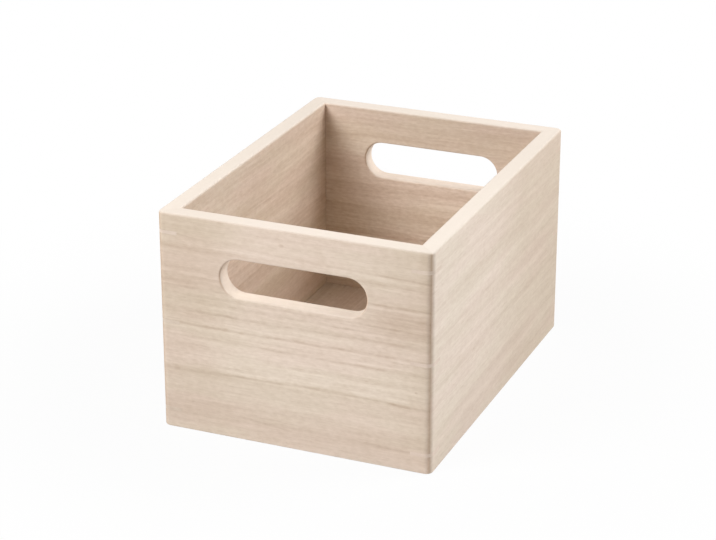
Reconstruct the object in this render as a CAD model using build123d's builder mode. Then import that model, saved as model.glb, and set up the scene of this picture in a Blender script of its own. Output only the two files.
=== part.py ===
"""Wooden storage bin: four mitred walls, three splines across each corner and a bottom held in a groove.

Millimetres. X runs along the front, Y from the front to the back and Z up. The origin is the middle of
the footprint, on the surface that the bin stands on.
"""

import os

from build123d import *

os.makedirs("parts", exist_ok=True)

# Outer form of the bin
width = 200.0
length = 270.0
height = 160.0
wall = 13.0
corner_radius = 5.0
rim_easing = 1.5
foot_easing = 1.0

# Hand holes, one in the front wall and one in the back wall
hand_hole_length = 107.0
hand_hole_height = 28.0
hand_hole_drop = 40.5
hand_hole_easing = 1.4

# Splines that cross each mitre
spline_thickness = 2.5
spline_leg = 15.0
spline_inset = 14.0
kerf_clearance = 0.05

# Bottom board and the groove that holds it
bottom_thickness = 5.0
bottom_lift = 5.0
groove_depth = 5.0
groove_play = 0.2
bottom_edge_gap = 0.4

# A mitre halves the right angle between two walls.
mitre_angle = 45.0

# Height of the middle of each spline above the surface that the bin stands on
spline_heights = {
    "top": height - spline_inset,
    "middle": height / 2,
    "bottom": spline_inset,
}

# Each wall has a base plane. Its origin is midway along the foot of the outer face, its X runs along that
# face and its Y points into the bin. The run is the length of the face, and the reach is how far the bin
# extends behind it.
front_base = Plane(origin=(0, -length / 2, 0), x_dir=(1, 0, 0), z_dir=(0, 0, 1))
right_base = Plane(origin=(width / 2, 0, 0), x_dir=(0, 1, 0), z_dir=(0, 0, 1))
back_base = Plane(origin=(0, length / 2, 0), x_dir=(-1, 0, 0), z_dir=(0, 0, 1))
left_base = Plane(origin=(-width / 2, 0, 0), x_dir=(0, -1, 0), z_dir=(0, 0, 1))

# Each corner has a base plane too. Its origin is the square corner before rounding, at the foot, and its
# X and Y run back along the two outer faces that meet there.
corner_bases = {
    "front_left": Plane(origin=(-width / 2, -length / 2, 0), x_dir=(1, 0, 0), z_dir=(0, 0, 1)),
    "front_right": Plane(origin=(width / 2, -length / 2, 0), x_dir=(0, 1, 0), z_dir=(0, 0, 1)),
    "back_right": Plane(origin=(width / 2, length / 2, 0), x_dir=(-1, 0, 0), z_dir=(0, 0, 1)),
    "back_left": Plane(origin=(-width / 2, length / 2, 0), x_dir=(0, -1, 0), z_dir=(0, 0, 1)),
}


def save(piece, name):
    """Labels a finished piece and writes its STEP file."""
    piece.label = name
    export_step(piece, f"parts/{name}.step")


def make_wall(name, base, run, reach, has_hand_hole):
    """One wall board with mitred ends, its half of each rounded corner, the groove and the spline kerfs."""
    along = Axis(base.origin, base.x_dir)
    with BuildPart() as board:
        # Plan of the board: mitred at both ends and rounded where the bin's corners are.
        with BuildSketch(base):
            Trapezoid(run, wall, mitre_angle, align=(Align.CENTER, Align.MIN))
            RectangleRounded(
                run, reach, corner_radius, align=(Align.CENTER, Align.MIN), mode=Mode.INTERSECT
            )
        extrude(amount=height)

        # Eased edges of the rim and the foot. The mitred ends stay sharp, where the next wall meets them.
        for face, easing in (
            (board.faces().sort_by(Axis.Z)[-1], rim_easing),
            (board.faces().sort_by(Axis.Z)[0], foot_easing),
        ):
            round_ends = face.edges().filter_by(GeomType.CIRCLE)
            long_edges = face.edges().filter_by(along)
            fillet(round_ends + long_edges, easing)

        # Groove for the bottom board, open to the inside and run out through both mitres
        with BuildSketch(base.offset(bottom_lift)):
            with Locations((0, wall - groove_depth)):
                Rectangle(run, groove_depth, align=(Align.CENTER, Align.MIN))
        extrude(amount=bottom_thickness + groove_play, mode=Mode.SUBTRACT)

        # Kerfs for the splines at both ends, open at the outer face and at the mitre
        kerf_leg = spline_leg + kerf_clearance
        kerf_height = spline_thickness + 2 * kerf_clearance
        for middle in spline_heights.values():
            with BuildSketch(base.offset(middle - kerf_height / 2)):
                Polygon((-run / 2, 0), (-run / 2 + kerf_leg, 0), (-run / 2, kerf_leg), align=None)
                Polygon((run / 2, 0), (run / 2, kerf_leg), (run / 2 - kerf_leg, 0), align=None)
            extrude(amount=kerf_height, mode=Mode.SUBTRACT)

        # Hand hole with fully round ends, its edges eased on the outer and the inner face
        if has_hand_hole:
            hole_middle = base.from_local_coords((0, 0, height - hand_hole_drop))
            outer_face = Plane(origin=hole_middle, x_dir=base.x_dir, z_dir=-base.y_dir)
            with BuildSketch(outer_face):
                SlotOverall(hand_hole_length, hand_hole_height)
            extrude(amount=-wall, mode=Mode.SUBTRACT)
            through = Axis(hole_middle, base.y_dir)
            hole_outlines = board.edges(Select.LAST).filter_by(through, reverse=True)
            fillet(hole_outlines, hand_hole_easing)

    save(board.part, name)


def make_spline(name, base, middle):
    """One spline: a thin right-angled key across the mitre, flush with both faces and rounded with the corner."""
    with BuildPart() as spline:
        with BuildSketch(base.offset(middle - spline_thickness / 2)) as outline:
            Polygon((0, 0), (spline_leg, 0), (0, spline_leg), align=None)
            square_corner = outline.vertices().sort_by_distance((0, 0))[0]
            fillet(square_corner, corner_radius)
        extrude(amount=spline_thickness)
    save(spline.part, name)


make_wall("front_panel", front_base, width, length, True)
make_wall("back_panel", back_base, width, length, True)
make_wall("left_panel", left_base, length, width, False)
make_wall("right_panel", right_base, length, width, False)

for corner_name, corner_base in corner_bases.items():
    for level_name, spline_middle in spline_heights.items():
        make_spline(f"{corner_name}_spline_{level_name}", corner_base, spline_middle)

# The bottom board rests on the lower side of the groove, with a little room above it and at its edges.
held_edge = groove_depth - bottom_edge_gap
with BuildPart() as bottom_panel:
    with BuildSketch(Plane.XY.offset(bottom_lift)):
        Rectangle(width - 2 * wall + 2 * held_edge, length - 2 * wall + 2 * held_edge)
    extrude(amount=bottom_thickness)
save(bottom_panel.part, "bottom_panel")
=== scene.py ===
"""Looks of the wooden storage bin: grain for every board, soft light, a pale floor and the camera.

The bin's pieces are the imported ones. Each keeps its shape and gets a wood of its own. Lengths in the wood
are millimetres, and places in the scene are metres.
"""

import math
from dataclasses import dataclass

import bpy
from mathutils import Matrix, Vector


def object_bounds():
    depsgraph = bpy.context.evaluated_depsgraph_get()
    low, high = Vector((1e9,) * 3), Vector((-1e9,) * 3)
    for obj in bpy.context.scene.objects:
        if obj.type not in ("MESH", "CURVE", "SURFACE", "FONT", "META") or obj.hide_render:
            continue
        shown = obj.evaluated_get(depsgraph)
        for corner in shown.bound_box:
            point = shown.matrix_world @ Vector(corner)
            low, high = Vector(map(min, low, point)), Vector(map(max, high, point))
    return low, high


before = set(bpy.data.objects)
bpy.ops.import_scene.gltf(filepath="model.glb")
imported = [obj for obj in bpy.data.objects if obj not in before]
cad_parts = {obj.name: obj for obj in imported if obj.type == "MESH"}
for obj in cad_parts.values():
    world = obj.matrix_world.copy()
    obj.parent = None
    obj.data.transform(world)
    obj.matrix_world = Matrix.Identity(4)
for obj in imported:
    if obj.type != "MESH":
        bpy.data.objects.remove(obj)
cad_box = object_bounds()

MM_PER_M = 1000.0
low_corner, high_corner = cad_box
bin_middle = (low_corner + high_corner) / 2
bin_half_width = (high_corner.x - low_corner.x) / 2 * MM_PER_M
bin_half_length = (high_corner.y - low_corner.y) / 2 * MM_PER_M
bin_height = (high_corner.z - low_corner.z) * MM_PER_M


def screen_colour(red, green, blue):
    """A colour as it looks on screen, 0 to 255, in the linear values that shaders take."""
    linear = []
    for channel in (red, green, blue):
        share = channel / 255
        linear.append(share / 12.92 if share <= 0.04045 else ((share + 0.055) / 1.055) ** 2.4)
    return (*linear, 1.0)


class Tree:
    """A node tree, with one short call for each kind of node that the materials and the world use."""

    def __init__(self, owner):
        owner.use_nodes = True
        self.owner = owner
        self.nodes = owner.node_tree.nodes
        self.links = owner.node_tree.links
        self.nodes.clear()

    def feed(self, socket, value):
        """Links a socket to another node's output, or sets it to a number, colour or vector."""
        if isinstance(value, bpy.types.NodeSocket):
            self.links.new(value, socket)
        else:
            socket.default_value = value

    def feed_in_turn(self, node, values):
        """Feeds a node's first inputs, in their order."""
        for socket, value in zip(node.inputs, values):
            self.feed(socket, value)

    def math(self, operation, *values):
        node = self.nodes.new("ShaderNodeMath")
        node.operation = operation
        self.feed_in_turn(node, values)
        return node.outputs[0]

    def add(self, *values):
        total = values[0]
        for value in values[1:]:
            total = self.math("ADD", total, value)
        return total

    def times(self, *values):
        product = values[0]
        for value in values[1:]:
            product = self.math("MULTIPLY", product, value)
        return product

    def vector(self, operation, *values):
        node = self.nodes.new("ShaderNodeVectorMath")
        node.operation = operation
        self.feed_in_turn(node, values)
        gives_number = operation in ("DOT_PRODUCT", "LENGTH")
        return node.outputs["Value" if gives_number else "Vector"]

    def combine(self, x, y, z):
        node = self.nodes.new("ShaderNodeCombineXYZ")
        self.feed_in_turn(node, (x, y, z))
        return node.outputs[0]

    def split(self, vector):
        node = self.nodes.new("ShaderNodeSeparateXYZ")
        self.feed(node.inputs[0], vector)
        return tuple(node.outputs)

    def noise(self, place, shift, lump, detail=2.0, roughness=0.5):
        """Noise about 0.5, shifted, and stretched so that a lump has the given size along each axis."""
        node = self.nodes.new("ShaderNodeTexNoise")
        self.feed(node.inputs["Vector"], self.vector("ADD", self.vector("DIVIDE", place, lump), shift))
        node.inputs["Scale"].default_value = 1.0
        node.inputs["Detail"].default_value = detail
        node.inputs["Roughness"].default_value = roughness
        return node.outputs[0]

    def centred(self, noise):
        """The same noise about 0."""
        return self.math("SUBTRACT", noise, 0.5)

    def remap(self, value, low, high, to_low=0.0, to_high=1.0):
        """Eases low..high over to the new limits, and holds those past both ends."""
        node = self.nodes.new("ShaderNodeMapRange")
        node.interpolation_type = "SMOOTHSTEP"
        self.feed_in_turn(node, (value, low, high, to_low, to_high))
        return node.outputs[0]

    def ramp(self, value, stops):
        """A colour ramp, with its stops given as (position, colour)."""
        node = self.nodes.new("ShaderNodeValToRGB")
        elements = node.color_ramp.elements
        while len(elements) < len(stops):
            elements.new(1.0)
        for element, (position, tone) in zip(elements, stops):
            element.position = position
            element.color = tone
        self.feed(node.inputs[0], value)
        return node.outputs[0]

    def mix(self, blend, factor, first, second):
        """Mixes two colours, whose sockets come after those for numbers and vectors."""
        node = self.nodes.new("ShaderNodeMix")
        node.data_type = "RGBA"
        node.blend_type = blend
        self.feed(node.inputs[0], factor)
        self.feed(node.inputs[6], first)
        self.feed(node.inputs[7], second)
        return node.outputs[2]

    def seen_directly(self):
        """1 for rays from the camera and for those that a reflection or clear material sends on, else 0."""
        path = self.nodes.new("ShaderNodeLightPath")
        seen = self.math("MAXIMUM", path.outputs["Is Camera Ray"], path.outputs["Is Glossy Ray"])
        return self.math("MAXIMUM", seen, path.outputs["Is Transmission Ray"])

    def show(self, surface, kind="Material"):
        """Ends a material's or a world's tree in its output."""
        output = self.nodes.new(f"ShaderNodeOutput{kind}")
        self.feed(output.inputs["Surface"], surface)


# Woods

# How far the noise is shifted along each axis from one seed to the next, and how far it has to be
# stretched for it to stray about 1 from its middle
NOISE_STEP = (3.7, 1.3, 2.1)
FULL_SWING = 4.0

# Share of a line's length over which it fades, on both sides of each end
LINE_FADE = 0.35

# Darkness of wood that nothing marks, and the darkness at which a board has each of its tones
EVEN_DARKNESS = 0.24
TONE_STOPS = (0.0, 0.3, 0.7, 1.0)

# What a tone is multiplied by: in full painted shade, in the two casts that it drifts between, where
# the wood takes up finish at a rounding and painted shade darkens it, and in a glue line
SHADE_TINT = (0.832, 0.799, 0.755, 1.0)
PINKISH_CAST = (1.0, 0.972, 0.96, 1.0)
YELLOWISH_CAST = (0.985, 0.985, 0.95, 1.0)
SOAK_AND_SHADE_TINT = (0.87, 0.79, 0.72, 1.0)
GLUE_TINT = screen_colour(170, 135, 104)

# Tone of the faces that are cut across a board, with painted light on the rim and the hand hole's ends
CUT_AND_LIGHT_TONE = screen_colour(246, 235, 223)


@dataclass
class Board:
    """How a board is cut and coloured.

    Heights are up its face, and places run along its grain from its middle. Strengths say how much darker
    a mark is than the wood round it, and a negative one makes it lighter.
    """

    name: str
    turn: float  # about Z, in degrees, to lay the grain along X
    reach: float  # from the bin's middle to the board's outer face
    seed: float  # shifts the noise, so that no two boards match
    half_run: float = 0.0  # half the length of a wall's outer face, and 0 for a piece with no mitre
    lean: float = 0.25  # how much higher a growth ring lies for each step into the board
    bend: float = 2.0  # how far slow waves lift or lower the rings
    ripple: float = 0.5  # the same for short waves

    # Lines along the grain: (start, height there, end, height there, half width, strength)
    lines: tuple = ()

    # Pin knots and broad soft patches, some of them painted shade: (place, height, half length, half height,
    # strength)
    spots: tuple = ()

    # Painted shade that comes up along the run, partly the wood's own darker tone: (place where it starts,
    # place where it is full, how dark)
    shades: tuple = ()
    shade_at_foot: float = 0.4  # how much of that shade is left at the foot

    # Painted shade at some heights, partly the wood's own darker tone: (share of the height, how dark)
    levels: tuple = ((0.0, 0.0), (1.0, 0.0))

    banding: float = 0.6  # strength of the broad bands

    # Strength of the fine streaks at some heights: (share of the height, strength)
    streak_strengths: tuple = ((0.0, 0.3), (1.0, 0.3))

    # Colours on screen, from the palest to the darkest
    tones: tuple = ((237, 222, 208), (221, 203, 186), (201, 178, 157), (160, 130, 104))


def board_place(tree, board):
    """Where a point lies in its board: along the grain, in from the outer face, and up from the foot."""
    node = tree.nodes.new("ShaderNodeMapping")
    tree.feed(node.inputs["Vector"], tree.nodes.new("ShaderNodeTexCoord").outputs["Object"])
    node.inputs["Location"].default_value = (0.0, board.reach, 0.0)
    node.inputs["Rotation"].default_value = (0.0, 0.0, math.radians(board.turn))
    node.inputs["Scale"].default_value = (MM_PER_M, MM_PER_M, MM_PER_M)
    return node.outputs[0]


def growth_ring(tree, board, place, shift):
    """Which growth ring a point is in, given as the height where that ring meets the outer face."""
    _, inward, up = tree.split(place)
    slow = tree.noise(place, shift, lump=(170.0, 60.0, 60.0), detail=1.0)
    quick = tree.noise(place, shift, lump=(20.0, 12.0, 8.0))
    slow_lift = tree.times(tree.centred(slow), FULL_SWING * board.bend)
    quick_lift = tree.times(tree.centred(quick), FULL_SWING * board.ripple)
    return tree.add(up, tree.times(inward, board.lean), slow_lift, quick_lift)


class Grain:
    """Where a point lies in a board, and the marks that the wood's fine structure makes there."""

    def __init__(self, tree, board):
        self.place = board_place(tree, board)
        self.along, self.inward, self.up = tree.split(self.place)
        self.shift = tuple(step * board.seed for step in NOISE_STEP)
        self.ring = growth_ring(tree, board, self.place, self.shift)
        self.ring_place = tree.combine(self.along, self.inward, self.ring)
        self.streaks = tree.noise(
            self.ring_place, self.shift, lump=(55.0, 3.5, 2.1), detail=3.0, roughness=0.55
        )
        self.fibres = tree.noise(self.ring_place, self.shift, lump=(11.0, 0.6, 0.4), roughness=0.6)

        # Pores are short dashes along the grain that crowd in the streaks, and dots on cut ends.
        dashes = tree.noise(self.ring_place, self.shift, lump=(4.2, 0.3, 0.26), detail=1.0)
        crowding = tree.remap(self.streaks, low=0.40, high=0.62, to_low=0.25, to_high=1.0)
        self.pores = tree.times(tree.remap(dashes, low=0.62, high=0.74), crowding)


def grain_line(tree, grain, breakup, line):
    """How much one line darkens a point: fully on the line, and less past its width and its ends."""
    start, start_height, end, end_height, half_width, strength = line
    fade = LINE_FADE * (end - start)
    slope = (end_height - start_height) / (end - start)
    line_height = tree.add(tree.times(grain.along, slope), start_height - slope * start)
    off = tree.math("ABSOLUTE", tree.math("SUBTRACT", grain.ring, line_height))
    body = tree.remap(off, 0.0, half_width, strength, 0.0)
    begins = tree.remap(grain.along, start - fade, start + fade)
    ends = tree.remap(grain.along, end - fade, end + fade, 1.0, 0.0)
    return tree.times(body, breakup, begins, ends)


def soft_spot(tree, grain, spot):
    """How dark a pin knot or a soft patch is here: full in its middle, and fading to its edge."""
    along, up, half_length, half_height, strength = spot
    depth = 12.0
    from_spot = tree.vector("SUBTRACT", grain.place, (along, 0.0, up))
    stretched = tree.vector("DIVIDE", from_spot, (half_length, depth, half_height))
    return tree.remap(tree.vector("DOT_PRODUCT", stretched, stretched), 0.0, 1.0, strength, 0.0)


def height_ramp(tree, up, stops):
    """A value that follows the height, with its stops given as (share of the height, value)."""
    share = tree.math("DIVIDE", up, bin_height)
    return tree.ramp(share, [(position, (value, value, value, 1.0)) for position, value in stops])


def marked_tone(tree, board, grain):
    """The board's tone with its bands, streaks, fibres, pores, lines and spots."""
    bands = tree.noise(grain.ring_place, grain.shift, lump=(400.0, 14.0, 10.0), roughness=0.55)
    strength = height_ramp(tree, grain.up, board.streak_strengths)

    # The soft mottle of sanded wood, and the breaks in the lines, don't follow the rings.
    mottle = tree.noise(grain.place, grain.shift, lump=(4.4, 2.8, 2.1), roughness=0.55)
    breaks = tree.noise(grain.place, grain.shift, lump=(15.0, 8.0, 5.0))
    breakup = tree.remap(breaks, low=0.36, high=0.58, to_low=0.45, to_high=1.05)

    streak_gain, least_mottle, fibre_strength, pore_strength = 1.4, 0.15, 0.3, 0.2
    marks = [
        tree.times(tree.centred(bands), board.banding),
        tree.times(tree.centred(grain.streaks), strength, streak_gain),
        tree.times(tree.centred(grain.fibres), fibre_strength),
        tree.times(tree.centred(mottle), tree.add(least_mottle, strength)),
        tree.times(grain.pores, pore_strength),
    ]
    marks += [grain_line(tree, grain, breakup, line) for line in board.lines]
    marks += [soft_spot(tree, grain, spot) for spot in board.spots]
    stops = [(stop, screen_colour(*tone)) for stop, tone in zip(TONE_STOPS, board.tones)]
    return tree.ramp(tree.add(EVEN_DARKNESS, *marks), stops)


def shaded_tone(tree, board, grain, tone):
    """The tone with painted shade, partly the board's own darker tone, towards its ends and at some heights,
    and a slow drift from pinkish to yellowish.
    """
    kept = tree.add(board.shade_at_foot, tree.times(grain.up, (1.0 - board.shade_at_foot) / bin_height))
    ends = tree.add(
        0.0, *(tree.remap(grain.along, start, full, 0.0, dark) for start, full, dark in board.shades)
    )
    shade = tree.add(tree.times(kept, ends), height_ramp(tree, grain.up, board.levels))
    tone = tree.mix("MULTIPLY", shade, tone, SHADE_TINT)
    drift = tree.noise(grain.place, grain.shift, lump=(95.0, 60.0, 24.0))
    cast = tree.mix("MIX", tree.remap(drift, low=0.36, high=0.64), PINKISH_CAST, YELLOWISH_CAST)
    return tree.mix("MULTIPLY", 1.0, tone, cast)


def cut_tone(tree, board, grain, tone):
    """The tone where the board is cut across or rounded, and how much of a cut there is at a point.

    A wall's cut faces, such as the rim and the hand hole's edge, are paler than its broad ones, and carry
    painted light on the rim and on the hand hole's cut ends. Where a rounding cuts the fibres at a slant,
    as at the bin's corners, they take up more finish and darken, and painted shade darkens the rounding
    further.
    """
    normal = tree.nodes.new("ShaderNodeNewGeometry").outputs["Normal"]
    turn = math.radians(board.turn)
    along_grain = tree.vector("DOT_PRODUCT", normal, (math.cos(turn), -math.sin(turn), 0.0))
    through_board = tree.vector("DOT_PRODUCT", normal, (math.sin(turn), math.cos(turn), 0.0))
    cut = tree.math("SUBTRACT", 1.0, tree.times(through_board, through_board))
    if not board.half_run:
        return tone, cut

    # Soaked wood with painted shade on the rounding, in a band that is narrower at the bin's corners than
    # at the hand hole's ends
    corner_starts, corner_is_full = board.half_run - 9.0, board.half_run - 6.0
    from_middle = tree.math("ABSOLUTE", grain.along)
    slant = tree.times(along_grain, through_board, 2.0)
    sharpness = tree.remap(from_middle, corner_starts, corner_is_full, 1.0, 2.0)
    soak_and_shade = tree.math("POWER", tree.times(slant, slant), sharpness)
    cut = tree.times(cut, tree.math("SUBTRACT", 1.0, soak_and_shade))
    tone = tree.mix("MULTIPLY", soak_and_shade, tone, SOAK_AND_SHADE_TINT)

    # Glue line, which shows where the mitre comes to the surface
    glue_core, glue_edge, glue_strength = 0.02, 0.22, 0.35
    from_mitre = tree.math("SUBTRACT", board.half_run, tree.add(from_middle, grain.inward))
    glue = tree.remap(from_mitre, glue_core, glue_edge, glue_strength, 0.0)
    tone = tree.mix("MULTIPLY", glue, tone, GLUE_TINT)

    # Pale cut faces with painted light, palest on the rim, and on end grain more than on side grain, where
    # the painted light stands in for the light on the hand hole's ends
    pale_and_lit_below, pale_and_lit_at_rim, painted_light_on_end_grain = 0.45, 0.75, 0.2
    rim_starts, rim_is_full = bin_height - 6.0, bin_height - 3.0
    pale_and_lit = tree.add(
        tree.remap(grain.up, rim_starts, rim_is_full, pale_and_lit_below, pale_and_lit_at_rim),
        tree.times(along_grain, along_grain, painted_light_on_end_grain),
    )
    return tree.mix("MIX", tree.times(cut, pale_and_lit), tone, CUT_AND_LIGHT_TONE), cut


def add_surface(tree, grain, tone, cut):
    """A matt surface in the given tone, with the relief of its streaks, fibres and pores."""
    shader = tree.nodes.new("ShaderNodeBsdfPrincipled")
    tree.feed(shader.inputs["Base Color"], tone)
    even_roughness = 0.55
    roughness = tree.add(
        even_roughness, tree.times(grain.fibres, 0.16), tree.times(grain.pores, 0.12), tree.times(cut, 0.15)
    )
    tree.feed(shader.inputs["Roughness"], roughness)

    relief_strength = 0.4
    relief_depth = 0.00008  # metres
    bump = tree.nodes.new("ShaderNodeBump")
    bump.inputs["Strength"].default_value = relief_strength
    bump.inputs["Distance"].default_value = relief_depth
    relief = tree.add(
        tree.times(grain.streaks, 0.5), tree.times(grain.fibres, 0.6), tree.times(grain.pores, -0.9)
    )
    tree.feed(bump.inputs["Height"], relief)
    tree.feed(shader.inputs["Normal"], bump.outputs[0])
    tree.show(shader.outputs[0])


def wood(board):
    """Pale hardwood with its grain along the board."""
    tree = Tree(bpy.data.materials.new(board.name))
    grain = Grain(tree, board)
    tone = marked_tone(tree, board, grain)
    tone = shaded_tone(tree, board, grain, tone)
    tone, cut = cut_tone(tree, board, grain, tone)
    add_surface(tree, grain, tone, cut)
    return tree.owner


def dress(node, material):
    """Gives one of the bin's pieces its finish."""
    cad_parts[node].material_slots[0].material = material


front_board = Board(
    name="front_wood",
    turn=0.0,
    reach=bin_half_length,
    seed=1.0,
    half_run=bin_half_width,
    bend=0.5,
    ripple=0.35,
    lines=(
        # Above the hand hole
        (-86.0, 146.6, -74.0, 145.0, 1.1, 0.3),
        (-115.0, 141.8, -12.0, 139.9, 3.0, -0.14),
        (-30.0, 142.6, 25.0, 142.4, 2.6, 0.10),
        (-30.0, 141.3, 25.0, 141.2, 1.2, 0.06),
        (15.0, 147.8, 60.0, 147.8, 2.0, -0.05),
        (15.0, 144.2, 60.0, 144.2, 1.7, 0.17),
        (-14.0, 141.6, 110.0, 137.8, 1.4, 0.26),
        # Left of it
        (-110.0, 137.2, -50.0, 136.0, 2.2, 0.14),
        (-110.0, 134.0, -50.0, 133.6, 2.2, -0.14),
        (-110.0, 119.2, -50.0, 118.2, 2.4, -0.16),
        (-115.0, 112.6, -50.0, 112.0, 2.6, 0.18),
        (-110.0, 108.3, -50.0, 108.4, 1.8, 0.15),
        # Right of it
        (52.0, 137.0, 105.0, 136.0, 1.8, -0.14),
        (54.0, 132.8, 95.0, 132.2, 1.3, 0.24),
        (54.0, 130.0, 100.0, 129.8, 1.9, -0.15),
        (54.0, 118.5, 110.0, 117.8, 1.5, 0.24),
        (54.0, 116.1, 110.0, 115.6, 1.8, -0.14),
        (54.0, 110.9, 105.0, 109.8, 1.8, 0.24),
        (54.0, 106.2, 110.0, 105.5, 1.6, 0.24),
        (52.0, 102.4, 115.0, 101.5, 1.4, 0.34),
        # Just under it
        (-20.0, 102.6, 50.0, 102.4, 1.3, 0.16),
        (-46.0, 98.8, 2.0, 98.0, 1.1, 0.10),
        (17.0, 97.5, 55.0, 97.2, 1.1, 0.22),
        (-120.0, 96.8, 100.0, 95.0, 1.8, -0.10),
        # Across the middle of the face
        (-130.0, 91.7, 130.0, 90.9, 1.9, 0.24),
        (-130.0, 88.8, 130.0, 87.9, 3.0, -0.12),
        (-120.0, 83.8, 120.0, 84.2, 2.0, -0.04),
        (-140.0, 80.7, 140.0, 81.7, 1.8, 0.30),
        (-120.0, 78.2, 40.0, 78.2, 2.0, -0.06),
        (-60.0, 74.6, 100.0, 74.0, 2.0, -0.10),
        (-60.0, 71.7, 130.0, 71.6, 1.7, 0.24),
        (-50.0, 69.4, 110.0, 69.2, 1.8, -0.04),
        (-120.0, 62.2, 120.0, 62.4, 2.5, 0.05),
        (-130.0, 55.5, 130.0, 56.6, 5.0, -0.09),
        # The darkest line, in four stretches, and the pale wood over it
        (-104.0, 45.3, -48.0, 46.5, 1.7, 0.18),
        (-50.0, 47.1, 22.0, 48.8, 1.5, 0.32),
        (22.0, 48.0, 58.0, 48.2, 1.5, 0.4),
        (54.0, 47.5, 104.0, 46.6, 1.9, 0.5),
        (-90.0, 49.6, -30.0, 50.8, 2.2, -0.20),
        (-30.0, 51.2, 25.0, 52.2, 2.2, -0.14),
        (40.0, 51.2, 98.0, 50.6, 2.4, -0.16),
        # By the foot
        (-40.0, 16.5, -8.0, 14.0, 1.5, 0.26),
        (50.0, 14.5, 88.0, 13.5, 1.5, 0.20),
    ),
    spots=(
        # Two pin knots
        (-7.7, 149.0, 2.5, 1.5, 0.22),
        (89.0, 59.0, 1.5, 0.9, 0.3),
        # Soft patches
        (80.0, 106.0, 30.0, 20.0, 0.13),
        (-74.0, 47.0, 40.0, 6.0, 0.10),
        (-90.0, 64.0, 35.0, 9.0, 0.07),
        # A broad patch of painted shade by the right corner
        (100.0, 35.0, 30.0, 65.0, 0.09),
    ),
    # Painted shade, partly the wood's own darker tone, towards both ends and by the right corner
    shades=((-25.0, -75.0, 0.82), (35.0, 92.0, 0.40), (88.0, 96.0, 0.45)),
    shade_at_foot=0.15,
    # Painted shade up the face, partly the wood's own tone
    levels=(
        (0.0, 0.20),
        (0.08, 0.42),
        (0.2, 0.14),
        (0.27, 0.28),
        (0.32, 0.04),
        (0.5, 0.05),
        (0.58, 0.45),
        (0.64, 0.45),
        (0.8, 0.2),
        (1.0, 0.32),
    ),
    banding=0.3,
    streak_strengths=(
        (0.0, 0.24),
        (0.27, 0.26),
        (0.32, 0.34),
        (0.45, 0.26),
        (0.54, 0.30),
        (0.64, 0.32),
        (0.74, 0.24),
        (1.0, 0.24),
    ),
    tones=((243, 228, 215), (228, 211, 195), (207, 185, 165), (165, 136, 110)),
)
right_board = Board(
    name="right_wood",
    turn=-90.0,
    reach=bin_half_width,
    seed=2.0,
    half_run=bin_half_length,
    bend=0.4,
    ripple=0.35,
    lines=(
        (-150.0, 143.8, 150.0, 141.5, 3.5, -0.10),
        (-150.0, 139.0, 60.0, 137.3, 3.0, 0.05),
        (-150.0, 135.2, 150.0, 133.0, 3.2, -0.05),
        (-100.0, 131.0, 120.0, 129.3, 2.6, 0.04),
        (-150.0, 127.6, 150.0, 125.0, 3.5, -0.05),
        (-170.0, 117.6, 170.0, 115.0, 9.0, 0.09),
        (-190.0, 104.2, 150.0, 102.2, 6.0, -0.12),
        (-170.0, 94.0, 170.0, 94.8, 3.6, 0.10),
        (-170.0, 85.2, 170.0, 86.2, 4.5, 0.09),
        (-110.0, 75.6, 150.0, 79.5, 5.0, -0.09),
        (-150.0, 66.8, 120.0, 68.8, 4.2, -0.07),
        (-190.0, 58.0, 170.0, 63.5, 4.4, 0.14),
        (20.0, 56.8, 120.0, 57.2, 3.5, -0.05),
        (-160.0, 43.2, 150.0, 50.6, 4.0, -0.06),
        (-160.0, 33.0, 150.0, 40.8, 5.0, -0.08),
        (-150.0, 24.5, 150.0, 34.0, 5.0, 0.04),
        (-180.0, 16.2, 150.0, 26.0, 5.5, -0.14),
        (20.0, 11.5, 150.0, 14.5, 5.0, 0.12),
    ),
    # A broad patch of painted shade towards the far end
    spots=((125.0, 100.0, 65.0, 110.0, 0.08),),
    # Painted shade, partly the wood's own darker tone, towards the far end
    shades=((-120.0, -60.0, 0.12), (-60.0, 120.0, 1.4)),
    shade_at_foot=0.5,
    # Painted shade up the side, darker towards the foot, partly the wood's own tone
    levels=((0.0, 0.45), (0.12, 0.55), (0.3, 0.17), (0.5, 0.16), (0.62, 0.12), (0.75, 0.14), (1.0, 0.0)),
    banding=0.15,
    streak_strengths=((0.0, 0.18), (0.5, 0.22), (1.0, 0.18)),
    tones=((243, 231, 219), (228, 213, 199), (208, 188, 170), (167, 138, 113)),
)
left_board = Board(
    name="left_wood",
    turn=90.0,
    reach=bin_half_width,
    seed=3.0,
    half_run=bin_half_length,
    lines=((-130.0, 120.0, 130.0, 125.0, 1.6, 0.2), (-60.0, 73.0, 130.0, 69.0, 1.2, 0.24)),
    shades=((90.0, -110.0, 0.6),),
    streak_strengths=((0.0, 0.25), (0.5, 0.35), (1.0, 0.3)),
)
back_board = Board(
    name="back_wood",
    turn=180.0,
    reach=bin_half_length,
    seed=4.0,
    half_run=bin_half_width,
    lines=((-100.0, 64.0, 100.0, 60.0, 1.2, 0.3), (-100.0, 32.0, 40.0, 34.0, 1.0, 0.2)),
    streak_strengths=((0.0, 0.25), (0.45, 0.5), (1.0, 0.35)),
)
bottom_board = Board(name="bottom_wood", turn=90.0, reach=0.0, seed=5.0, lean=0.9)

panels = {
    "front": front_board,
    "right": right_board,
    "left": left_board,
    "back": back_board,
    "bottom": bottom_board,
}
for side, board in panels.items():
    dress(f"{side}_panel", wood(board))

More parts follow.
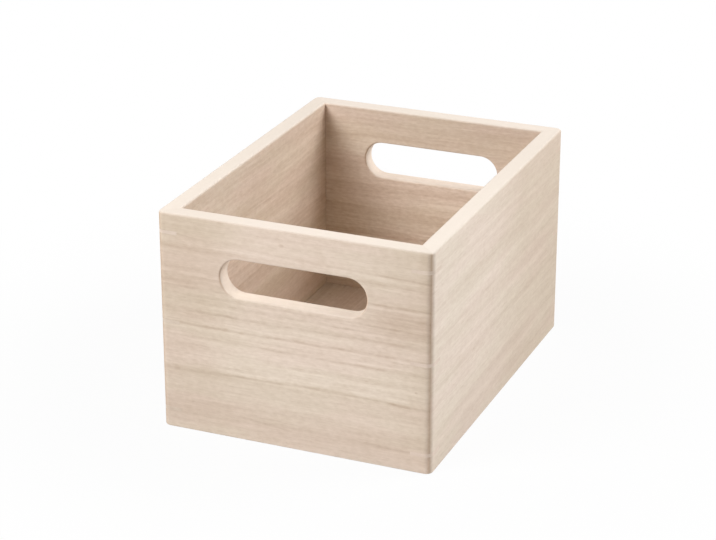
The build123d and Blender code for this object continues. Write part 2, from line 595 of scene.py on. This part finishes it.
# A spline's grain runs across its corner, square to the line that halves the angle. Each corner has the
# turn of that grain and the painted shade of its splines, which follows that of the boards round it.
corner_reach = (bin_half_width + bin_half_length) / math.sqrt(2)
spline_corners = {
    "front_left": (45.0, 0.3),
    "front_right": (-45.0, 0.0),
    "back_right": (-135.0, 0.8),
    "back_left": (135.0, 0.3),
}
first_spline_seed = 6
for seed, (corner, (turn, shade)) in enumerate(spline_corners.items(), first_spline_seed):
    spline_wood = wood(
        Board(
            name=f"{corner}_spline_wood",
            turn=turn,
            reach=corner_reach,
            seed=float(seed),
            levels=((0.0, shade), (1.0, shade)),
            tones=((231, 215, 202), (223, 206, 191), (203, 181, 162), (163, 134, 110)),
        )
    )
    for level in ("top", "middle", "bottom"):
        dress(f"{corner}_spline_{level}", spline_wood)


# Stage


def add_floor():
    """A pale floor far past the view, white where it is lit, with the bin's soft shadow on it.

    It glows white where the camera sees it. Near the bin a little of the lit paint shows through.
    """
    half_size = 15.0
    paint_colour = (0.72, 0.72, 0.72, 1.0)
    glow_near, glow_far = 0.95, 1.0
    near, far = 0.18, 0.42

    floor = bpy.data.objects.new("floor", bpy.data.meshes.new("floor"))
    square = ((-1, -1), (1, -1), (1, 1), (-1, 1))
    floor.data.from_pydata([(x * half_size, y * half_size, 0) for x, y in square], [], [(0, 1, 2, 3)])
    bpy.context.scene.collection.objects.link(floor)

    tree = Tree(bpy.data.materials.new("floor_white"))
    paint = tree.nodes.new("ShaderNodeBsdfDiffuse")
    paint.inputs["Color"].default_value = paint_colour
    glow = tree.nodes.new("ShaderNodeEmission")
    from_bin = tree.vector("LENGTH", tree.nodes.new("ShaderNodeTexCoord").outputs["Object"])
    share = tree.remap(from_bin, near, far, glow_near, glow_far)
    blend = tree.nodes.new("ShaderNodeMixShader")
    tree.feed_in_turn(blend, (tree.times(tree.seen_directly(), share), paint.outputs[0], glow.outputs[0]))
    tree.show(blend.outputs[0])
    floor.data.materials.append(tree.owner)


def add_world(ambient):
    """Even light from all round, and a white background where the camera or a reflection sees it."""
    bpy.context.scene.world = bpy.data.worlds.new("studio")
    tree = Tree(bpy.context.scene.world)
    background = tree.nodes.new("ShaderNodeBackground")
    background.inputs["Color"].default_value = (1.0, 1.0, 1.0, 1.0)
    tree.feed(background.inputs["Strength"], tree.remap(tree.seen_directly(), 0.0, 1.0, ambient, 1.0))
    tree.show(background.outputs[0], kind="World")


def direction(azimuth, elevation):
    """From the bin towards a place round it. Azimuth 0 is in front of the bin and 90 on its right."""
    turn, rise = math.radians(azimuth), math.radians(elevation)
    return Vector((math.sin(turn) * math.cos(rise), -math.cos(turn) * math.cos(rise), math.sin(rise)))


def add_softbox(name, azimuth, elevation, size, share):
    """A large square lamp that faces the bin. With a share of 1 it alone would render a colour as written."""
    distance = 1.8
    lamp = bpy.data.lights.new(name, "AREA")
    lamp.shape = "SQUARE"
    lamp.size = size
    lamp.energy = share * (math.pi * distance) ** 2
    softbox = bpy.data.objects.new(name, lamp)
    towards = direction(azimuth, elevation)
    softbox.location = bin_middle + towards * distance
    softbox.rotation_mode = "QUATERNION"
    softbox.rotation_quaternion = towards.to_track_quat("Z", "Y")
    bpy.context.scene.collection.objects.link(softbox)


add_floor()
add_world(ambient=0.16)
add_softbox("front_softbox", azimuth=-33.0, elevation=39.0, size=0.9, share=0.805)
add_softbox("rear_softbox", azimuth=120.0, elevation=35.0, size=1.0, share=0.81)


# Camera

# Its line of sight passes the bin's middle a little to the left and above.
camera_azimuth = 22.659
camera_elevation = 22.513
camera_distance = 1.627876
camera_offset_right = -0.00824
camera_offset_up = 0.001328
focal_length_px = 2252.276
image_width_px = 716
sensor_width = 36.0

back = direction(camera_azimuth, camera_elevation)
right = direction(camera_azimuth + 90.0, 0.0)
up = back.cross(right)
lens = bpy.data.cameras.new("camera")
lens.sensor_fit = "HORIZONTAL"
lens.sensor_width = sensor_width
lens.lens = focal_length_px * sensor_width / image_width_px
camera = bpy.data.objects.new("camera", lens)
bpy.context.scene.collection.objects.link(camera)
camera_place = bin_middle + back * camera_distance + right * camera_offset_right + up * camera_offset_up
camera.matrix_world = Matrix.Translation(camera_place) @ Matrix((right, up, back)).transposed().to_4x4()
bpy.context.scene.camera = camera
bpy.context.scene.view_settings.view_transform = "Standard"
